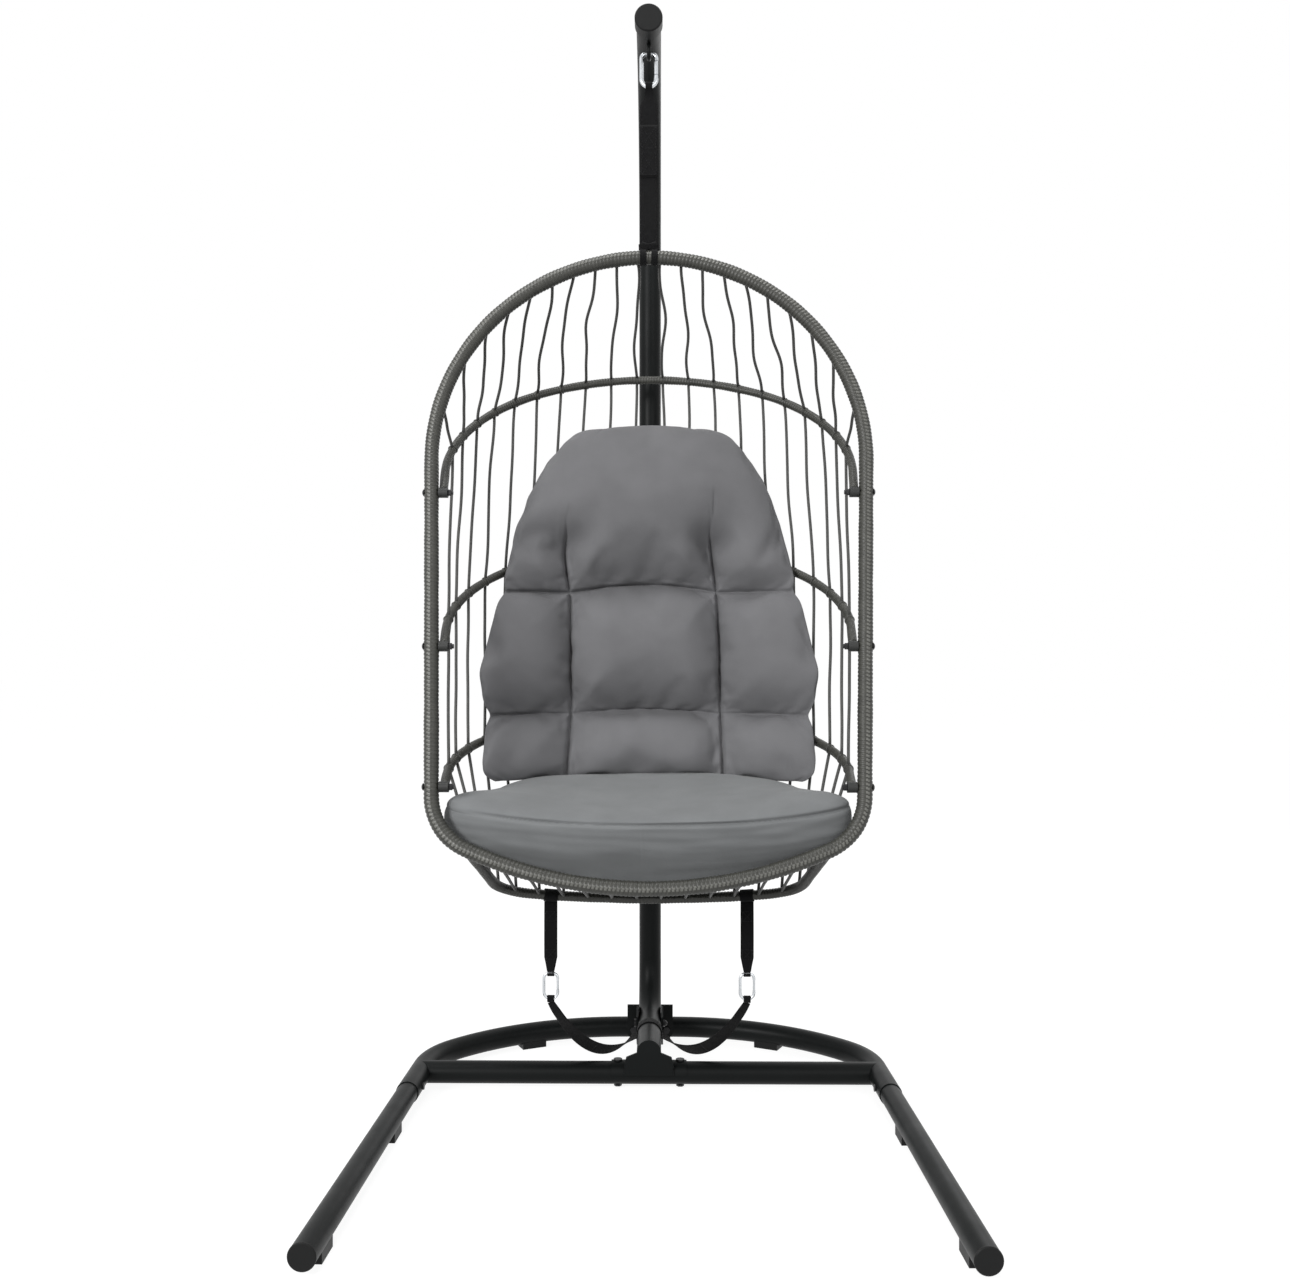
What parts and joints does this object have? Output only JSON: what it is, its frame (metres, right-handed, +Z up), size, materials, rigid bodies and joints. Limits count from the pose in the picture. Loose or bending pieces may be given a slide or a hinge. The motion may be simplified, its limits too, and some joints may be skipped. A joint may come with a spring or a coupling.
{
  "type": "hanging egg chair",
  "caption": "Egg-shaped corded basket with grey cushions, hung by a strap from a C-shaped free-standing frame with a U-shaped base, and held by safety straps below.",
  "frame": {"origin": "on the floor, under the middle of the base", "axes": "+Z up, the open front of the basket faces -Y, +X to the right of someone who looks at the front"},
  "size_m": [0.921, 1.0204, 1.9722],
  "materials": {
    "stand_paint": "satin black powder coat",
    "black_plastic": "matte",
    "zinc_steel": "bright zinc plate",
    "black_steel": "blackened bolts and nuts",
    "webbing": "woven polyester webbing",
    "frame_paint": "powder coat under the wrap",
    "wicker": "wound flat polyethylene strip",
    "cord": "round polyethylene cord",
    "back_fabric": "plain woven polyester",
    "seat_fabric": "plain woven polyester"
  },
  "bodies": {
    "stand": {"rear_arc_tube": "stand_paint", "crossbar_tube": "stand_paint", "left_leg_tube": "stand_paint", "right_leg_tube": "stand_paint", "leg_end_caps": "black_plastic", "leg_screws": "black_steel", "foot_pads": "black_plastic", "lower_pole_tube": "stand_paint", "upper_pole_tube": "stand_paint", "pole_joint_bolt": "black_steel", "arm_end_cap": "black_plastic", "pole_bracket": "stand_paint", "pole_bracket_bolts": "black_steel", "crossbar_saddle": "stand_paint", "crossbar_bolts": "black_steel", "hanging_eye": "stand_paint", "lower_safety_strap": "webbing"},
    "top_clip": {"top_carabiner": "zinc_steel"},
    "top_gate": {"top_gate": "zinc_steel"},
    "hanging": {"hanging_strap": "webbing", "left_safety_carabiner": "zinc_steel", "right_safety_carabiner": "zinc_steel"},
    "left_gate": {"left_safety_gate": "zinc_steel"},
    "right_gate": {"right_safety_gate": "zinc_steel"},
    "basket": {"left_upper_strap": "webbing", "right_upper_strap": "webbing", "rim_tube": "frame_paint", "rim_wrap": "wicker", "upper_hoop_tube": "frame_paint", "upper_hoop_wrap": "wicker", "middle_hoop_tube": "frame_paint", "middle_hoop_wrap": "wicker", "lower_hoop_tube": "frame_paint", "lower_hoop_wrap": "wicker", "seat_frame_tube": "frame_paint", "seat_frame_wrap": "wicker", "hoop_bolts": "black_steel", "hoop_nuts": "black_steel", "upper_back_cords": "cord", "middle_back_cords": "cord", "lower_back_cords": "cord", "seat_back_cords": "cord", "under_seat_cords": "cord", "back_cushion": "back_fabric", "seat_cushion": "seat_fabric"}
  },
  "joints": [
    {"name": "swing", "type": "hinge", "parent": "stand", "child": "top_clip", "pos_m": [0, 0.174, 1.9123], "axis": [-1, 0, 0], "range_deg": [-4, 6], "deforming": ["lower_safety_strap"]},
    {"name": "top_gate_hinge", "type": "hinge", "parent": "top_clip", "child": "top_gate", "pos_m": [0.0135, 0.174, 1.8698], "axis": [0, -1, 0], "range_deg": [0, 20], "stiffness_Nm_per_rad": 0.05, "springref_deg": -5.73},
    {"name": "sway", "type": "hinge", "parent": "top_clip", "child": "hanging", "pos_m": [0, 0.174, 1.8658], "axis": [0, 1, 0], "range_deg": [-4, 4]},
    {"name": "left_gate_hinge", "type": "hinge", "parent": "hanging", "child": "left_gate", "pos_m": [-0.16756, 0.17075, 0.18979], "axis": [0, -1, 0], "range_deg": [0, 20], "stiffness_Nm_per_rad": 0.02, "springref_deg": -5.73},
    {"name": "right_gate_hinge", "type": "hinge", "parent": "hanging", "child": "right_gate", "pos_m": [0.19306, 0.17075, 0.18979], "axis": [0, -1, 0], "range_deg": [0, 20], "stiffness_Nm_per_rad": 0.02, "springref_deg": -5.73},
    {"name": "turn", "type": "hinge", "parent": "hanging", "child": "basket", "pos_m": [0, 0.174, 1.7], "axis": [0, 0, 1], "range_deg": [-6, 6], "deforming": ["hanging_strap", "left_upper_strap", "right_upper_strap"]}
  ]
}
